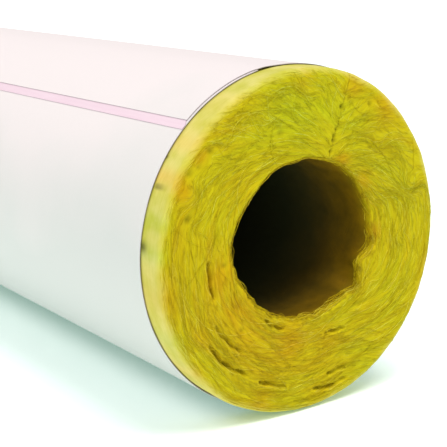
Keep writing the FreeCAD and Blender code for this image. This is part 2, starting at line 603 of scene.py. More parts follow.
# %% The slit's width
# The knife's cut has closed again, but gapes in a few places: shares of the wool's radius.
SLIT_GAPES = {NEAR: (0.525, 0.60, 0.665, 0.79, 0.93), FAR: (0.56, 0.72, 0.88)}
SLIT_CLOSED = 0.09 * MM
SLIT_GAPE = 0.26 * MM
GAPE_LENGTH = 0.020


def slit_half_width(radius, depth, end):
    """Half of the slit's width: nearly closed, plus a hump in radius for each gaping place.

    Behind the cut, along the bore and the skin, it wavers between closed and half a gape.
    """
    share = radius / WOOL_RADIUS
    gape = sum(bell((share - at) / GAPE_LENGTH) for at in SLIT_GAPES[end])
    wavering = 0.35 * np.clip(noise(depth / (12 * MM), 0 * depth, 64, SEED[end] + 50), 0, 1)
    on_cut = bell(depth / (4 * MM))
    return SLIT_CLOSED + SLIT_GAPE * (gape * on_cut + wavering * (1 - on_cut))


# %% The body's points for one end
def end_points(end):
    """Points of the section's rows for one end, from mid-bore round the cut to mid-outside.

    On the bore and the outside a row is a depth, and its radius comes from inner_radius or
    outer_radius. On the cut a row is a share of the way from the mouth's edge to the rim's,
    and its depth comes from cut_depth. Returns the points' depths, radii and turns.
    """
    turn = np.broadcast_to(column_turns, (SECTION_ROWS, len(column_turns)))
    mouth_edge = inner_radius(column_turns, 0.0, end)[None, :]
    rim_edge = outer_radius(column_turns, 0.0, end)[None, :]

    bore_depth = bore_depths[:, None] + 0 * mouth_edge
    bore = inner_radius(turn[: len(bore_depth)], bore_depth, end)
    band_depth = band_depths[:, None] + 0 * rim_edge
    band = outer_radius(turn[: len(band_depth)], band_depth, end)

    lip = mouth_edge + lip_inside[:, None]
    share = np.linspace(0, 1, FACE_ROWS + 2)[1:-1, None]
    face = (mouth_edge + LIP_ROUND) * (1 - share) + (rim_edge - RIM_ROUND) * share
    rim = rim_edge - rim_inside[:, None]
    cut = np.concatenate([lip, face, rim])
    depth_of_cut = cut_depth(turn[: len(cut)], cut, end)

    radius = np.concatenate([bore, cut, band])
    depth = np.concatenate([bore_depth, depth_of_cut, band_depth])
    turn = turn + giving_way * slit_half_width(radius, depth, end) / radius
    return depth, radius, turn


places = {end: end_points(end) for end in (NEAR, FAR)}
print("near end:", places[NEAR][0].shape, "stands out", round(-places[NEAR][0].min() / MM, 2), "mm")

# %% [markdown]
# ## What the wool's material needs to know
#
# The binder is brown, and gathers in the bore's wall and in some layers, which look orange.
# The bore's wall is also painted darker as shade, most deep inside, and brown at one side of
# the mouth, as shade between its tufts. Loose fibres look greener, and the smooth skin is
# paler. Each point carries these as numbers that the material mixes its colours by: tint,
# from green at -1 to orange at 1; skin; bore, and how deep in it; crest, the fine relief,
# painted paler on top and darker below as light and shade; and painted shade, in holes,
# crevices and at the paper's edge.

# %% Tints of the wool
# (angle, share of radius, size in mm, how orange, or how green if it is below nought)
TINTS = {
    NEAR: [
        (100, 0.80, 24, -0.9), (75, 0.78, 16, -0.5), (60, 0.68, 12, -0.5), (30, 0.75, 18, -0.35),
        (92, 0.945, 7, 0.8), (70, 0.93, 8, 0.9), (52, 0.93, 8, 0.6), (61, 0.52, 6, 1.0),
        (38, 0.52, 6, 0.7), (10, 0.965, 7, 0.2), (-15, 0.965, 7, 0.2), (0, 0.51, 5, 0.8),
        (155, 0.93, 5, 1.0), (142, 0.92, 5, 0.6), (172, 0.68, 10, 0.4), (-170, 0.62, 9, 0.7),
        (-150, 0.60, 9, 0.6), (-130, 0.62, 11, 0.5), (-100, 0.58, 11, 0.8), (-75, 0.60, 10, 0.4),
        (-110, 0.92, 7, 0.6), (-150, 0.86, 8, 0.3), (-35, 0.80, 14, -0.4), (-60, 0.93, 12, -0.4),
        (-95, 0.96, 10, -0.4), (152, 1.0, 5, 1.3), (141, 1.0, 6, 0.5), (166, 1.0, 5, -0.8),
        (176, 1.0, 5, -1.2), (-170, 1.0, 7, 0.3), (-155, 1.0, 6, -0.6), (-141, 1.0, 6, 0.7),
        (-120, 0.72, 46, 0.28), (195, 0.78, 28, 0.25),
    ],
    FAR: [
        (240, 0.78, 22, -0.8), (60, 0.90, 14, 0.7), (150, 0.60, 14, 0.6), (300, 0.65, 14, 0.5),
        (20, 0.70, 18, -0.4),
    ],
}


def tint_of(turn, radius, end):
    """Broad patches of noise, streaks along the layers, and a round hump for each tint."""
    patches = ripples(turn, radius / MM, SEED[end] + 60, [(0.25, 12, 20)])
    streaks = ripples(turn, layer_of(turn, radius, end), SEED[end] + 61, [(0.32, 14, 3)])
    return patches + streaks + spots(turn, radius, TINTS[end])


# %% The values that each end's points carry
# Patches painted dark as shade at the paper's edge: (angle, half width in degrees, depth and half
# length in mm)
PAPER_EDGE_SHADES = {
    NEAR: [(174.5, 1.8, 15.5, 3.8), (155.5, 0.6, 13, 5), (146, 1.0, 17.0, 1.4)],
    FAR: [(60, 1.2, 15, 3.0), (205, 0.8, 12, 6.0)],
}
# Where the mouth's edge is painted brown, as shade between its tufts: the middle angle, and half
# the width.
MOUTH_SHADE = {NEAR: (-15, 80), FAR: (200, 90)}
# How much painted shade darkens the bottom of a hole or a crevice, for each mm of its depth.
HOLE_SHADE = 0.25
CREVICE_SHADE = 0.06
# A share of the wool's radius that the bore never reaches and the rim is always past.
MID_WALL = 0.62
# How far the bore's colour, its painted shade deep inside, the brown shade painted at the mouth and
# the skin's paleness reach in.
BORE_STARTS = (0.1 * MM, 6.5 * MM)
BORE_SHADE_DEEPENS = (3 * MM, 70 * MM)
MOUTH_SHADE_REACH = 5.5 * MM
SKIN_FADES = (0.3 * MM, 4.6 * MM)
# Painted shade on the wool just under the paper's lifted edge.
UNDER_PAPER_SHADE = 0.45
# One radius for the whole flow map, so that its patterns don't fan out.
FLOW_RADIUS = 70 * MM


def end_values(end, depth, radius, turn):
    """The material's values at each of an end's points, worked out from where it is."""
    in_bore = radius < WOOL_RADIUS * MID_WALL
    inside = step(depth, *BORE_STARTS) * in_bore
    from_mouth = radius - inner_radius(turn, 0.0, end)
    # The mouth's edge is painted in the bore's brown on one side, as shade between its tufts.
    mouth_shade = 0.35 + ripples(turn, from_mouth / MM, SEED[end] + 55, [(1.4, 46, 6)])
    mouth_shade = np.clip(mouth_shade, 0, 1) * hump(turn, *MOUTH_SHADE[end], 4)
    inside = np.maximum(inside, 0.75 * mouth_shade * (1 - step(from_mouth, 0, MOUTH_SHADE_REACH)))
    from_rim = outer_radius(turn, depth, end) - radius
    patchy = ripples(turn, depth / MM, SEED[end] + 56, [(1.2 * MM, 40, 4)])
    on_side = 1 - step(from_rim + patchy, *SKIN_FADES)
    on_side = on_side * (0.65 + 0.35 * step(depth, -0.5 * MM, 4 * MM))
    # The bottoms of holes and crevices are painted darker, as shade.
    grime = 0 * depth
    for pit in PITS[end]:
        grime = np.maximum(grime, HOLE_SHADE * spots(turn, radius, [pit]) * (1 - on_side))
    for feature in CREVICES[end]:
        grime = np.maximum(grime, CREVICE_SHADE * crevice(turn, radius / MM, feature)[0])
    # Patches at the paper's edge are painted darker, as shade.
    for angle, width, middle, length in PAPER_EDGE_SHADES[end]:
        along = bell((depth / MM - middle) / length)
        grime = grime + hump(turn, angle, width) * along * on_side
    # The wool just under the paper's lifted edge is painted darker, as its shadow.
    under_paper = step(depth, BARE_BAND - 1.2 * MM, BARE_BAND + 0.5 * MM)
    grime = np.maximum(0.85 * grime, UNDER_PAPER_SHADE * under_paper * on_side)
    return {
        "tint": tint_of(turn, radius, end),
        "skin": on_side,
        "bore": inside,
        # How far into the bore the wool is painted darker, as shade.
        "deep": step(depth, *BORE_SHADE_DEEPENS) * in_bore,
        # The fine relief, for painting crests paler and valleys darker, as light and shade.
        "crest": relief(turn, radius, end)[1],
        "grime": grime,
    }


def flow_places(end, depth, radius, turn):
    """Where each point is along and across the fibres, in metres, for the fine patterns.

    Along is the turn times one radius. Across is the point's layer on the cut, and goes on
    past the mouth and the rim by the depth behind the cut.
    """
    rows_in_bore = len(bore_depths)
    first_of_band = SECTION_ROWS - len(band_depths)
    on_cut = slice(rows_in_bore, first_of_band)
    across = np.empty_like(radius)
    across[on_cut] = layer_of(turn[on_cut], radius[on_cut], end) * MM
    across[:rows_in_bore] = across[rows_in_bore] - depth[:rows_in_bore]
    across[first_of_band:] = across[first_of_band - 1] + depth[first_of_band:]
    return turn * FLOW_RADIUS, across


# %% Put both ends together
def both_ends(near, far):
    """The rows of the whole section: the near end's, then the far end's in reverse."""
    return np.concatenate([near, far[::-1]])


body_depth, body_radius, body_turn = map(both_ends, places[NEAR], places[FAR])
side_of = np.repeat([NEAR, FAR], SECTION_ROWS)[:, None]
body_x = side_of * (END_X - body_depth)
body_points = round_axis(body_x, body_radius, body_turn).reshape(-1, 3)
near_values, far_values = (end_values(end, *places[end]) for end in (NEAR, FAR))
body_values = {k: both_ends(near_values[k], far_values[k]).ravel() for k in near_values}
flows = map(both_ends, *(flow_places(end, *places[end]) for end in (NEAR, FAR)))
body_flow = np.stack([flow.ravel() for flow in flows], axis=1)
print("body points:", body_points.shape, "tint", np.round(np.ptp(body_values["tint"]), 2))

# %% The body's mesh
# One UV map carries the patterns. The other lays the grid out evenly in a square, with a
# strip beside it for the slit's two faces.
GRID_SHARE = 0.97
SLIT_MAP_WIDTH = 0.01
body_rows, body_columns = body_depth.shape
quads, row, column = grid_faces(body_rows, body_columns, close_rows=True)
section = np.arange(body_rows)
slit_rows = np.stack([section[::-1], section])
slit_faces = slit_rows * body_columns + np.array([[0], [body_columns - 1]])
through_wall = (body_radius[slit_rows, 0] - BORE_RADIUS) / (WOOL_RADIUS - BORE_RADIUS)
beside = np.array([[GRID_SHARE + 0.005], [GRID_SHARE + 0.018]]) + SLIT_MAP_WIDTH * through_wall
slit_map = np.stack([beside, body_x[slit_rows, 0] / (2.02 * END_X) + 0.5], axis=2).reshape(-1, 2)
even_map = grid_map(
    row, column, np.linspace(0, GRID_SHARE, body_columns), np.linspace(0, 1, body_rows + 1)
)
wool = new_mesh_object(
    "wool_body",
    body_points,
    [quads, slit_faces],
    corner_maps={
        "flow": body_flow[np.concatenate([quads.ravel(), slit_faces.ravel()])],
        "OFBake": np.concatenate([even_map, slit_map]),
    },
    point_values=body_values,
)
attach(wool, "root")
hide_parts("glass_wool_sleeve")

# %% [markdown]
# ## Loose strands on the cut
#
# A surface alone looks like clay. Wool has thousands of fine strands that lie on the cut, bend
# with the layers, cross each other where the wool is tangled, and dive back under at both
# ends. Each is a thin three-sided tube, and all of one kind are one mesh. All are traced at
# once, in small steps along the lie of the fibres.


# %% Trace strands along the lie of the wool
INSIDE_RIM = 0.6 * MM
# In degrees, for straight wool, and how much is added where it is all tangled.
LEAN = (3, 24)
CURL = (1.5, 7)


def trace(turn, radius, length, segments, end, random):
    """The strands' centre lines on the cut, as (strand, point) arrays of turn and radius.

    Each strand takes equal steps. A step's direction is the lie of the wool, turned by an
    angle of the strand's own, wide where the wool is tangled, which changes a little at every
    step, so that the strand curls. None leaves the cut.
    """
    count = len(turn)
    crossed = tangle(turn, radius, end)
    lean = random.normal(0, 1, count) * np.radians(LEAN[0] + LEAN[1] * crossed)
    curl = random.normal(0, 1, count) * np.radians(CURL[0] + CURL[1] * crossed)
    stride = length / segments
    turns, radii = [turn], [radius]
    for _ in range(segments):
        along, outward = lie_of(turn, radius, end)
        lean = lean + curl
        go_round = along * np.cos(lean) - outward * np.sin(lean)
        go_out = along * np.sin(lean) + outward * np.cos(lean)
        turn = turn + stride * go_round / radius
        low, high = inner_radius(turn, 0.0, end), outer_radius(turn, 0.0, end) - INSIDE_RIM
        radius = np.clip(radius + stride * go_out, low, high)
        turns.append(turn)
        radii.append(radius)
    return np.stack(turns, axis=1), np.stack(radii, axis=1)


# %% Turn centre lines into thin tubes
TUBE_SIDES = 3


def tubes(name, line, out, thick, values):
    """One mesh of thin three-sided tubes, one along each strand's centre line.

    line is (strand, point, 3), out is the direction that each strand's top faces, and thick
    is each strand's half width, which falls to a fifth at both ends as the root of a half
    sine. Three corners lie round each point, and each tube has its own cell of the map.
    """
    strands, points = line.shape[:2]
    tangent = np.gradient(line, axis=1)
    tangent = tangent / (np.linalg.norm(tangent, axis=2, keepdims=True) + 1e-12)
    across = np.cross(tangent, out)
    across = across / (np.linalg.norm(across, axis=2, keepdims=True) + 1e-12)
    top = np.cross(across, tangent)
    taper = 0.2 + 0.8 * np.sqrt(np.sin(np.pi * np.linspace(0.02, 0.98, points)))
    half = (thick[:, None] * taper)[:, :, None, None]
    corner = np.radians(90 + np.arange(TUBE_SIDES) * 120)[None, None, :, None]
    ring = across[:, :, None] * np.cos(corner) + 0.8 * top[:, :, None] * np.sin(corner)
    corners = (line[:, :, None] + half * ring).reshape(-1, 3)

    one, row, column = grid_faces(points, TUBE_SIDES, close_columns=True)
    firsts = np.arange(strands) * points * TUBE_SIDES
    sides = (one[None] + firsts[:, None, None]).reshape(-1, 4)
    start_cap = firsts[:, None] + np.arange(TUBE_SIDES)
    end_cap = firsts[:, None] + (points - 1) * TUBE_SIDES + np.arange(TUBE_SIDES)[::-1]

    cells = math.ceil(math.sqrt(strands))
    cell = np.stack([np.arange(strands) % cells, np.arange(strands) // cells], axis=1)
    steps_in_cell = (np.linspace(0.08, 0.92, lines) for lines in (TUBE_SIDES + 1, points))
    inside = grid_map(row, column, *steps_in_cell)
    side_map = ((cell[:, None] + inside[None]) / cells).reshape(-1, 2)
    small = np.array([[0.01, 0.01], [0.06, 0.01], [0.01, 0.06]])
    cap_map = ((cell[:, None] + small[None]) / cells).reshape(-1, 2)
    return new_mesh_object(
        name,
        corners,
        [sides, start_cap, end_cap],
        corner_maps={"OFBake": np.concatenate([side_map, cap_map, cap_map + 0.9 / cells])},
        point_values={k: np.repeat(v.ravel(), TUBE_SIDES) for k, v in values.items()},
    )


# %% Leave the small holes open
HOLE_MARGIN = 1.15
GAPE_MARGIN = 1.2


def covers_a_hole(turns, radii, end):
    """Which strands pass over a pit or over a gaping place of the slit.

    Points are put between the traced ones, four to a step, as straight lines between them.
    """
    steps = turns.shape[1] - 1
    along = np.linspace(0, steps, 4 * steps + 1)
    low = np.minimum(along.astype(int), steps - 1)
    share = along - low
    turn, radius = (at[:, low] * (1 - share) + at[:, low + 1] * share for at in (turns, radii))
    covers = np.zeros(len(turns), bool)
    for angle, place, size, _ in PITS[end]:
        covers |= (distance_to(turn, radius, angle, place) < size * HOLE_MARGIN).any(axis=1)
    for place in SLIT_GAPES[end]:
        covers |= (distance_to(turn, radius, SLIT_ANGLE, place) < GAPE_MARGIN).any(axis=1)
    return covers


# %% Strands that lie on a cut end
# Strands within RIM_PALER_REACH of the rim are paler, and one that gathers there, with this
# many of its points in the margin, is left out.
RIM_PALER = 0.5
RIM_PALER_REACH = 5 * MM
RIM_MARGIN = 0.9 * MM
GATHERED = 3
# For each kind: how many, segments, lengths, widths and mean lift in mm, and its seed.
STRAND_KINDS = {
    "layer_edges": (340, 20, (45, 110), (0.26, 0.50), 0.17, 73),
    "long_strands": (3200, 9, (12, 46), (0.14, 0.42), 0.10, 70),
    "short_strands": (6000, 4, (4, 13), (0.12, 0.28), 0.13, 71),
}


def cut_strands(name, end, count, segments, lengths, widths, lift, seed):
    """Strands scattered evenly over one cut end and traced along the lie of its wool.

    Their lengths and widths are random between the given ones. Each strand rises to its
    lift in the middle and sinks into the wool at both ends, as a sine of its length.
    """
    shortest, longest = lengths
    random = np.random.default_rng(SEED[end] + seed)
    turn = random.uniform(0, TURN, count)
    low, high = inner_radius(turn, 0.0, end) + 0.5 * MM, outer_radius(turn, 0.0, end) - MM
    radius = np.sqrt(low**2 + random.uniform(0, 1, count) * (high**2 - low**2))
    length = (shortest + (longest - shortest) * random.uniform(0, 1, count) ** 1.7) * MM
    turns, radii = trace(turn, radius, length, segments, end, random)
    at_rim = radii > outer_radius(turns, 0.0, end) - RIM_MARGIN
    clear = ~covers_a_hole(turns, radii, end) & (at_rim.sum(axis=1) < GATHERED)
    turns, radii = turns[clear], radii[clear]
    count = len(turns)
    rise = np.sin(np.pi * np.linspace(0, 1, segments + 1))
    highest = random.exponential(lift, count)[:, None] * MM
    lying = cut_depth(past_slit(turns), radii, end)
    depth = lying - highest * rise + 0.25 * MM * (1 - rise)
    line = round_axis(end * (END_X - depth), radii, turns)
    thick = random.uniform(*widths, count) * MM / 2
    shade = np.repeat(random.uniform(0, 1, count)[:, None], segments + 1, axis=1)
    near_rim = 1 - step(outer_radius(turns, 0.0, end) - radii, MM, RIM_PALER_REACH)
    values = {
        "tint": tint_of(past_slit(turns), radii, end),
        "crest": relief(past_slit(turns), radii, end)[1],
        "shade": shade + RIM_PALER * near_rim,
    }
    return tubes(name, line, np.array([float(end), 0.0, 0.0]), thick, values)


strand_pieces = []
for end, label in ((NEAR, "near"), (FAR, "far")):
    for kind, sizes in STRAND_KINDS.items():
        strand_pieces.append(cut_strands(f"{kind}_{label}_cut", end, *sizes))

# %% Tufts at the mouth of the bore
MOUTH_STRANDS = 700
MOUTH_POINTS = 6


def mouth_strands(name, end, seed):
    """Strands that lie along the mouth's edge and bow into the bore, most at the bottom.

    Each starts a little behind the cut and runs round the edge, leaning by a random amount.
    It bows inward by a half sine of its length, and further where tufts hang.
    """
    random = np.random.default_rng(seed)
    turn = random.uniform(0, TURN, MOUTH_STRANDS)
    length = random.uniform(5, 16, MOUTH_STRANDS) * MM
    shift = np.linspace(-0.5, 0.5, MOUTH_POINTS)[None, :]
    turns = turn[:, None] + shift * (length / BORE_RADIUS)[:, None]
    hanging = 0.35 + 1.3 * hump(turns, TUFTS_ANGLE, 78, 4) * (end == NEAR) + 0.4 * (end == FAR)
    bow = random.exponential(0.45, MOUTH_STRANDS)[:, None] * hanging * np.cos(np.pi * shift)
    behind = random.uniform(0.2, 6.0, MOUTH_STRANDS)[:, None]
    behind = np.clip(behind + random.normal(0, 2.5, MOUTH_STRANDS)[:, None] * shift, 0.1, 9)
    radii = inner_radius(turns, behind * MM, end) + (0.25 - np.clip(bow, 0, 2.2)) * MM
    line = round_axis(end * (END_X - behind * MM), radii, turns)
    inward = -round_axis(0 * turn, 1, turn)[:, None, :]
    thick = random.uniform(0.14, 0.42, MOUTH_STRANDS) * MM / 2
    shade = np.repeat(random.uniform(0, 1, MOUTH_STRANDS)[:, None], MOUTH_POINTS, axis=1)
    values = {"tint": 0.5 + 0 * turns, "crest": 0 * turns, "shade": shade}
    return tubes(name, line, inward, thick, values)


for end, label in ((NEAR, "near"), (FAR, "far")):
    strand_pieces.append(mouth_strands(f"tufts_{label}_mouth", end, SEED[end] + 72))
for piece in strand_pieces:
    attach(piece, "root")

# %% [markdown]
# ## The paper jacket
#
# The jacket is one sheet of paper, wound once round the wool and on over its own first edge
# as a lap. Where it climbs over that edge it stands off the wool like a tent. Its cut ends
# have lifted a little, so a thin dark line shows between paper and wool, where the wool is
# also painted darker as shade. The sheet is held tight, so it is a formula: its inner radius
# at every angle and station along the sleeve.

# %% How the sheet lies round the wool
CLIMB_START, CLIMB_END = 92.0, 103.0
TENT = 0.17 * MM
TENT_REACH = 30 * MM
TENT_ANGLE, TENT_WIDTH = 101.0, 3.2
EDGE_LIFT = 0.11 * MM
EDGE_REACH = 8 * MM


def paper_lift(angle, x):
    """How far the paper stands off the wool: its lifted ends and slow waves along it.

    The ends lift by a bell of the distance from the end, by an amount that varies round the
    sleeve. The tent is a hump beside the first edge, and the waves are noise.
    """
    turn = np.radians(angle)
    from_end = JACKET_END - np.abs(x)
    uneven = 1 + ripples(turn, 3.3 + 5 * np.sign(x), 80, [(0.9, 16, 1)])
    uneven = uneven + ripples(turn, 2.6 + 4 * np.sign(x), 81, [(0.5, 41, 1)])
    ends = EDGE_LIFT * np.clip(uneven, 0.25, None) * bell(from_end / EDGE_REACH)
    waves = ripples(turn, x, 82, [(0.10, 10, 0.17), (0.05, 31, 0.33)])
    tent = TENT * hump(turn, TENT_ANGLE, TENT_WIDTH) * (0.25 + np.exp(-from_end / TENT_REACH))
    return ends + tent + (0.12 + waves) * MM


def sheet_inside(angle, x):
    """The radius of the paper's inner side, at angles that run on past a full turn.

    It is the wool's radius plus the lift. From one turn after CLIMB_START to one turn after
    CLIMB_END it also climbs, in a smooth step, by the thickness of paper and film.
    """
    climb = step(angle, CLIMB_START + 360, CLIMB_END + 360)
    return WOOL_RADIUS + (PAPER + FILM) * climb + paper_lift(angle, x)


# %% Where the sheet's cut ends lie
LAP_TRIM = 1.4 * MM
END_WAVER = 0.35 * MM


def sheet_places(angle, stations, trim):
    """Where each station lies along the sleeve, at angles that run on past a full turn.

    Near the ends the stations are moved: by a slow noise, because the cut wavers, and
    inward by the length that was trimmed off at each angle.
    """
    near_end = step(np.abs(stations), JACKET_END - 60 * MM, JACKET_END)
    waver = ripples(np.radians(angle), 2 + np.sign(stations), 84, [(END_WAVER, 11, 1)])
    return stations + np.sign(stations) * near_end * (waver - trim)


# %% A thin sheet bent round the axis
PAPER_STATIONS = 20


def wrapped_sheet(name, angles, places, inner, thickness):
    """A closed thin sheet, from its inner side's place along the sleeve and its radius.

    Both are given at (angle, station). The sheet's rows go along the inner side, over one
    long edge and back along the outer side, and its columns are the stations. Two rows of
    quads close its cut ends. Faces have material 0, and the four narrow edges material 1.
    """
    around, along = inner.shape
    turn = np.radians(np.concatenate([angles, angles[::-1]]))
    radius = np.concatenate([inner, inner[::-1] + thickness])
    points = round_axis(np.concatenate([places, places[::-1]]), radius, turn).reshape(-1, 3)
    quads, row, column = grid_faces(2 * around, along, close_rows=True)
    # The map gives the outer side most of the square.
    sides = (np.linspace(0, 0.06, around), np.linspace(0.065, 0.95, around), [0.955])
    side_map = grid_map(row, column, np.linspace(0, 1, along), np.concatenate(sides))
    side_map = side_map.reshape(-1, 4, 2)
    narrow = np.isin(row, (around - 1, 2 * around - 1))

    i = np.arange(around - 1)
    inside, outside = i * along, (2 * around - 1 - i) * along
    next_inside, next_outside = inside + along, outside - along
    first_end = np.stack([inside, outside, next_outside, next_inside], axis=1)
    last_end = first_end[:, ::-1] + along - 1
    end_steps = np.linspace(0, 1, around)
    end_strips = (np.array([0.96, 0.975]), np.array([0.98, 0.995]))
    maps = [side_map[~narrow].reshape(-1, 2), side_map[narrow].reshape(-1, 2)]
    maps += [grid_map(0 * i, i, end_steps, strip) for strip in end_strips]
    piece = new_mesh_object(
        name,
        points,
        [quads[~narrow], quads[narrow], first_end, last_end],
        corner_maps={"OFBake": np.concatenate(maps)},
        finishes=(0, 1, 1, 1),
    )
    piece.data.set_sharp_from_angle(angle=math.radians(40))
    return piece


from_end = spread(0, JACKET_END, PAPER_STATIONS, 1.9)
stations = np.concatenate([JACKET_END - from_end, from_end[::-1][1:] - JACKET_END])[None, :]
paper_angles = np.linspace(FIRST_EDGE_ANGLE, LAP_EDGE_ANGLE + 360, 392)[:, None]
paper_inside = sheet_inside(paper_angles, stations)
# The lap was trimmed a little shorter than the rest of the sheet, and so was the film in it.
lap_trim = LAP_TRIM * step(paper_angles, FIRST_EDGE_ANGLE + 359, FIRST_EDGE_ANGLE + 362)
paper_places = sheet_places(paper_angles, stations, lap_trim)
jacket = wrapped_sheet("jacket_sheet", paper_angles, paper_places, paper_inside, PAPER)
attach(jacket, "root")
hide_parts("paper_jacket")

# %% [markdown]
# ## The release strip
#
# The lap's glue came covered by a plastic film. When the lap was closed the film was left
# under its edge, where a pink strip still shows. It lies on the sheet and follows its lift.

# %% The film strip
FILM_CLEARANCE = 0.02 * MM
film_angles = np.linspace(STRIP_TUCKED_ANGLE, STRIP_FAR_ANGLE, 30)[:, None]
film_wave = 0.05 * MM * np.clip(noise(0 * stations, stations / 0.05, 8, 90), 0, 1)
free = step(film_angles, LAP_EDGE_ANGLE + 0.4, STRIP_FAR_ANGLE)
film_inside = WOOL_RADIUS + paper_lift(film_angles, stations)
film_inside = film_inside + PAPER + FILM_CLEARANCE + free * film_wave
film_trim = 1.5 * LAP_TRIM * (1 - step(film_angles, LAP_EDGE_ANGLE, LAP_EDGE_ANGLE + 2))
film_places = sheet_places(film_angles, stations, film_trim)
film_thickness = FILM - 2 * FILM_CLEARANCE
film = wrapped_sheet("release_film", film_angles, film_places, film_inside, film_thickness)
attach(film, "root")
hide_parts("lap_release_strip")

# %% [markdown]
# ## Helpers for materials
#
# Each finish is a small tree of shader nodes. The helpers add nodes and link them, so that a
# finish reads from top to bottom. Colours are linear, as Blender keeps them.


# %% Add and link shader nodes
def fill(tree, node, inputs):
    """Link each input that is given a socket, and set each that is given a value."""
    for label, value in inputs.items():
        if isinstance(value, bpy.types.NodeSocket):
            tree.links.new(value, node.inputs[label])
        else:
            node.inputs[label].default_value = value


def add(tree, kind, inputs=None, **settings):
    """A shader node with its settings, and its inputs by name or number."""
    made = tree.nodes.new(kind)
    for label, value in settings.items():
        setattr(made, label, value)
    fill(tree, made, inputs or {})
    return made


def new_material(name):
    """A material that has only its Principled shader so far, and its node tree."""
    material = bpy.data.materials.new(name)
    material.use_nodes = True
    return material, material.node_tree


def object_place(tree):
    """Where on its piece each point is."""
    return add(tree, "ShaderNodeTexCoord").outputs["Object"]


def surface(tree, colour, roughness, specular, **others):
    """Give the Principled shader its colour, its roughness, its sheen and other inputs."""
    inputs = {"Base Color": colour, "Roughness": roughness, "Specular IOR Level": specular}
    fill(tree, tree.nodes["Principled BSDF"], inputs | others)


def point_value(tree, label):
    """The number that each point of the piece carries under this label."""
    return add(tree, "ShaderNodeAttribute", attribute_name=label).outputs["Fac"]


def clouds(tree, place, scale, detail=2.0, stretch=(1.0, 1.0, 1.0)):
    """Noise from 0 to 1 at a place, stretched: a scale of 1000 has a grain of about 1 mm."""
    wide = tuple(scale * s for s in stretch)
    at = add(tree, "ShaderNodeMapping", {"Vector": place, "Scale": wide})
    inputs = {"Vector": at.outputs["Vector"], "Scale": 1.0, "Detail": detail}
    return add(tree, "ShaderNodeTexNoise", inputs).outputs["Fac"]


def maths(tree, operation, a, b=0.0, clamp=False):
    """One sum or other operation on two numbers."""
    inputs = {0: a, 1: b}
    return add(tree, "ShaderNodeMath", inputs, operation=operation, use_clamp=clamp).outputs[0]


def weighted(tree, parts, offset=0.0):
    """Numbers times their weights, added up with an offset and kept from 0 to 1."""
    total = offset
    for number, (value, weight) in enumerate(parts):
        last = number == len(parts) - 1
        product = maths(tree, "MULTIPLY", value, weight)
        total = maths(tree, "ADD", product, total, clamp=last)
    return total


def blend(tree, amount, first, second, how="MIX"):
    """The first colour at an amount of 0 and the second at 1, or the second laid over it."""
    colours = [c if isinstance(c, bpy.types.NodeSocket) else (*c, 1) for c in (first, second)]
    inputs = {0: amount, 6: colours[0], 7: colours[1]}
    made = add(tree, "ShaderNodeMix", inputs, data_type="RGBA", blend_type=how)
    return made.outputs[2]


def ramp(tree, amount, stops):
    """A colour for each amount from 0 to 1, between stops of (amount, colour)."""
    made = add(tree, "ShaderNodeValToRGB", {"Fac": amount})
    elements = made.color_ramp.elements
    while len(elements) < len(stops):
        elements.new(0.5)
    for element, (at, colour) in zip(elements, stops):
        element.position = at
        element.color = (*colour, 1)
    return made.outputs["Color"]


def bump(tree, height, size, strength):
    """A normal that leans as if the surface rose by height, from 0 to 1, times size."""
    inputs = {"Height": height, "Distance": size, "Strength": strength}
    return add(tree, "ShaderNodeBump", inputs).outputs["Normal"]


# %% [markdown]
# ## The wool's finish
#
# The wool is painted deep yellow in the valleys and pale on the crests, as shade and light,
# with fine streaks of both along every layer: noise on the flow map, some thirty times as long
# as it is wide. On top lie the tints, the pale pressed skin, the brown wall of the bore,
# darkened as painted shade, and the painted shade of holes, crevices and the paper's edge.

# %% Colours of the wool
WOOL_STOPS = (
    (0.0, (0.45, 0.345, 0.001)),
    (0.5, (0.565, 0.46, 0.002)),
    (1.0, (0.67, 0.585, 0.01)),
)
ORANGE = (1.04, 0.79, 0.5)
GREEN = (0.90, 1.06, 1.5)
SKIN_CREAM = (0.80, 0.71, 0.25)
SKIN_GREEN = (0.60, 0.57, 0.07)
SKIN_TINT = 0.5
# The bore's browns are the binder's colour, kept dark as painted shade; deeper in it is painted
# darker still.
BORE_SHADED_RUST = (0.25, 0.135, 0.001)
BORE_SHADED_BROWN = (0.105, 0.062, 0.001)
BORE_PAINTED_SHADE = (0.046, 0.052, 0.020)
# The colour of the painted shade in holes, crevices and at the paper's edge.
PAINTED_SHADE_COLOUR = (0.055, 0.05, 0.008)
SKIN_STREAK = (0.80, 0.76, 0.45)
THREADS = (1250, 3.0, (0.028, 1.0, 1.0))
HAIRS = (2600, 2.0, (0.04, 1.0, 1.0))


def tinted(tree, colour, tint):
    """A colour made more orange where the tint is above nought and greener below it."""
    orange = maths(tree, "MULTIPLY", tint, 1.0, clamp=True)
    green = maths(tree, "MULTIPLY", tint, -1.0, clamp=True)
    warm = blend(tree, orange, colour, blend(tree, 1.0, colour, ORANGE, "MULTIPLY"))
    return blend(tree, green, warm, blend(tree, 1.0, warm, GREEN, "MULTIPLY"))


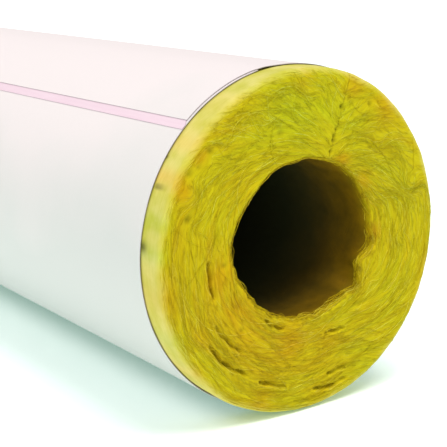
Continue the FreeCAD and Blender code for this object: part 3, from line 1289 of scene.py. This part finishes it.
# %% The body's material
def wool_finish():
    """Streaks and crests mixed from the wool's stops, then tint, skin, bore and painted shade."""
    material, tree = new_material("glass_wool")
    place = object_place(tree)
    flow = add(tree, "ShaderNodeUVMap", uv_map="flow").outputs["UV"]
    tint, crest = point_value(tree, "tint"), point_value(tree, "crest")
    threads, hairs = clouds(tree, flow, *THREADS), clouds(tree, flow, *HAIRS)
    blots = clouds(tree, place, 320, 3.0)
    # The crests are painted paler and the valleys darker, as light and shade.
    light = weighted(tree, [(threads, 1.0), (hairs, 0.6), (blots, 0.15), (crest, 0.15)], -0.40)
    wool_colour = tinted(tree, ramp(tree, light, WOOL_STOPS), tint)

    skin_patches = weighted(tree, [(clouds(tree, place, 75, 3.0), 2.4), (tint, 0.35)], -0.62)
    skin_colour = blend(tree, skin_patches, SKIN_GREEN, SKIN_CREAM)
    skin_streaks = weighted(tree, [(threads, 0.8), (hairs, 0.5)], -0.15)
    streaked = blend(tree, 1.0, skin_colour, SKIN_STREAK, "MULTIPLY")
    skin_colour = blend(tree, skin_streaks, streaked, skin_colour)
    skin_colour = tinted(tree, skin_colour, maths(tree, "MULTIPLY", tint, SKIN_TINT))

    bore_patches = weighted(tree, [(clouds(tree, place, 90, 3.0), 1.6), (threads, 0.6)], -0.6)
    bore_colour = blend(tree, bore_patches, BORE_SHADED_BROWN, BORE_SHADED_RUST)
    # Deep in the bore the colour is painted darker, as shade.
    bore_colour = blend(tree, point_value(tree, "deep"), bore_colour, BORE_PAINTED_SHADE)

    colour = wool_colour
    # Last comes the painted shade of holes, crevices and the paper's edge.
    for label, covering in (("skin", skin_colour), ("bore", bore_colour), ("grime", PAINTED_SHADE_COLOUR)):
        colour = blend(tree, point_value(tree, label), colour, covering)
    normal = bump(tree, weighted(tree, [(threads, 0.7), (hairs, 0.4)]), 0.4 * MM, 0.4)
    surface(tree, colour, weighted(tree, [(blots, 0.3)], 0.55), 0.1, Normal=normal)
    return material


wool.data.materials.append(wool_finish())
print("wool finish:", len(wool.data.materials[0].node_tree.nodes), "nodes")

# %% The strands' material
STRAND_STOPS = (
    (0.0, (0.48, 0.375, 0.001)),
    (0.4, (0.565, 0.46, 0.002)),
    (0.8, (0.63, 0.545, 0.007)),
    (1.0, (0.74, 0.68, 0.07)),
)


def strand_finish():
    """Each strand has its own shade, painted a little lighter on the crests as light, then the
    wool's tint.
    """
    material, tree = new_material("glass_strand")
    place = object_place(tree)
    along = clouds(tree, place, 420, 2.0)
    own, crest = point_value(tree, "shade"), point_value(tree, "crest")
    shade = weighted(tree, [(own, 1.0), (along, 0.6), (crest, 0.14)], -0.30)
    colour = tinted(tree, ramp(tree, shade, STRAND_STOPS), point_value(tree, "tint"))
    surface(tree, colour, weighted(tree, [(along, 0.3)], 0.4), 0.15)
    return material


strand_material = strand_finish()
for piece in strand_pieces:
    piece.data.materials.append(strand_material)

# %% [markdown]
# ## The finishes of the paper and the film
#
# The jacket is white paper with a smooth, hardly shiny face. It has cloudy patches, slightly
# pink or slightly green, and is painted pinker and lighter above and greener and darker below,
# as light and shade. It has a grain that only the sheen shows. Its cut edges show the darker
# core, darkened further as painted shade. The film is thin pink plastic, and its edges are
# painted darker, as shade.

# %% Paper
# The paper is painted pinker and lighter on top and greener and darker below, as light and shade.
PAPER_LIT_PINK = (0.838, 0.758, 0.752)
PAPER_SHADED_GREEN = (0.694, 0.694, 0.666)
PAPER_FLECK = (0.955, 0.955, 0.95)
# The cut edges: the paper's grey core, darkened further as painted shade.
CORE_AND_SHADE_DARK, CORE_AND_SHADE_PALE = (0.38, 0.33, 0.35), (0.58, 0.53, 0.54)


def paper_finish():
    """White with faint cloudy patches, painted pinker and lighter above and greener and darker
    below as light and shade, and a dull sheen.
    """
    material, tree = new_material("jacket_paper")
    place = object_place(tree)
    # Higher up the paper is painted pinker and lighter, lower down greener and darker, as light and
    # shade.
    up = add(tree, "ShaderNodeSeparateXYZ", {"Vector": place}).outputs["Z"]
    patches = weighted(tree, [(clouds(tree, place, 9, 3.0), 1.8), (up, 11.0)], -0.75)
    flecks = clouds(tree, place, 700, 4.0)
    grain = clouds(tree, place, 2600, 2.0, (0.5, 1.0, 1.0))
    colour = blend(tree, patches, PAPER_SHADED_GREEN, PAPER_LIT_PINK)
    flecked = blend(tree, 1.0, colour, PAPER_FLECK, "MULTIPLY")
    colour = blend(tree, weighted(tree, [(flecks, 1.0)], -0.1), flecked, colour)
    normal = bump(tree, weighted(tree, [(grain, 0.6), (flecks, 0.4)]), 0.06 * MM, 0.5)
    surface(tree, colour, weighted(tree, [(flecks, 0.35)], 0.38), 0.3, Normal=normal)
    return material


def cut_paper_finish():
    """The paper's core as its cut edges show it: greyer, darkened further as painted shade, with
    streaks along the cut.
    """
    material, tree = new_material("cut_paper_and_shade")
    place = object_place(tree)
    streaks = weighted(tree, [(clouds(tree, place, 500, 3.0), 1.0)])
    surface(tree, blend(tree, streaks, CORE_AND_SHADE_DARK, CORE_AND_SHADE_PALE), 0.85, 0.1)
    return material


jacket.data.materials.append(paper_finish())
jacket.data.materials.append(cut_paper_finish())


# %% Film
def film_finish(name, pale, deep):
    """Pink plastic, faintly streaked along its length, with a soft sheen."""
    material, tree = new_material(name)
    place = object_place(tree)
    streaks = clouds(tree, place, 900, 3.0, (0.03, 1.0, 1.0))
    patches = clouds(tree, place, 60, 2.0, (0.3, 1.0, 1.0))
    amount = weighted(tree, [(streaks, 0.8), (patches, 0.9)], -0.35)
    roughness = weighted(tree, [(streaks, 0.3)], 0.22)
    normal = bump(tree, streaks, 0.05 * MM, 0.4)
    surface(tree, blend(tree, amount, deep, pale), roughness, 0.35, Normal=normal)
    return material


film.data.materials.append(film_finish("release_film", (0.86, 0.69, 0.75), (0.79, 0.57, 0.66)))
# The film's narrow edges are painted darker, as shade.
film.data.materials.append(film_finish("cut_film_shade", (0.40, 0.27, 0.35), (0.32, 0.20, 0.29)))
print("finishes:", [slot.name for piece in (wool, jacket, film) for slot in piece.data.materials])

# %% [markdown]
# ## The floor
#
# The sleeve lies on a plain, wide floor, and casts a soft shadow where it touches it. The
# floor glows faintly, a painted light as from a lit table, so that the shadow stays light. Its
# sea-green only shows in the shadow, because the light elsewhere brings it up to white.

# %% Floor
FLOOR_HALF = 60.0
FLOOR_COLOUR = (0.95, 1.0, 0.985)
FLOOR_GLOW = (0.076, 0.142, 0.120)
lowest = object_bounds()[0].z
corner = np.array([[-1, -1], [1, -1], [1, 1], [-1, 1]]) * FLOOR_HALF
floor = new_mesh_object(
    "floor",
    np.column_stack([corner, np.full(4, lowest)]),
    [np.array([[0, 1, 2, 3]])],
    corner_maps={"OFBake": corner / (2 * FLOOR_HALF) + 0.5},
)
floor_material, floor_tree = new_material("floor")
glow = {"Emission Color": (*FLOOR_GLOW, 1), "Emission Strength": 1.0}
surface(floor_tree, (*FLOOR_COLOUR, 1), 0.9, 0.0, **glow)
floor.data.materials.append(floor_material)
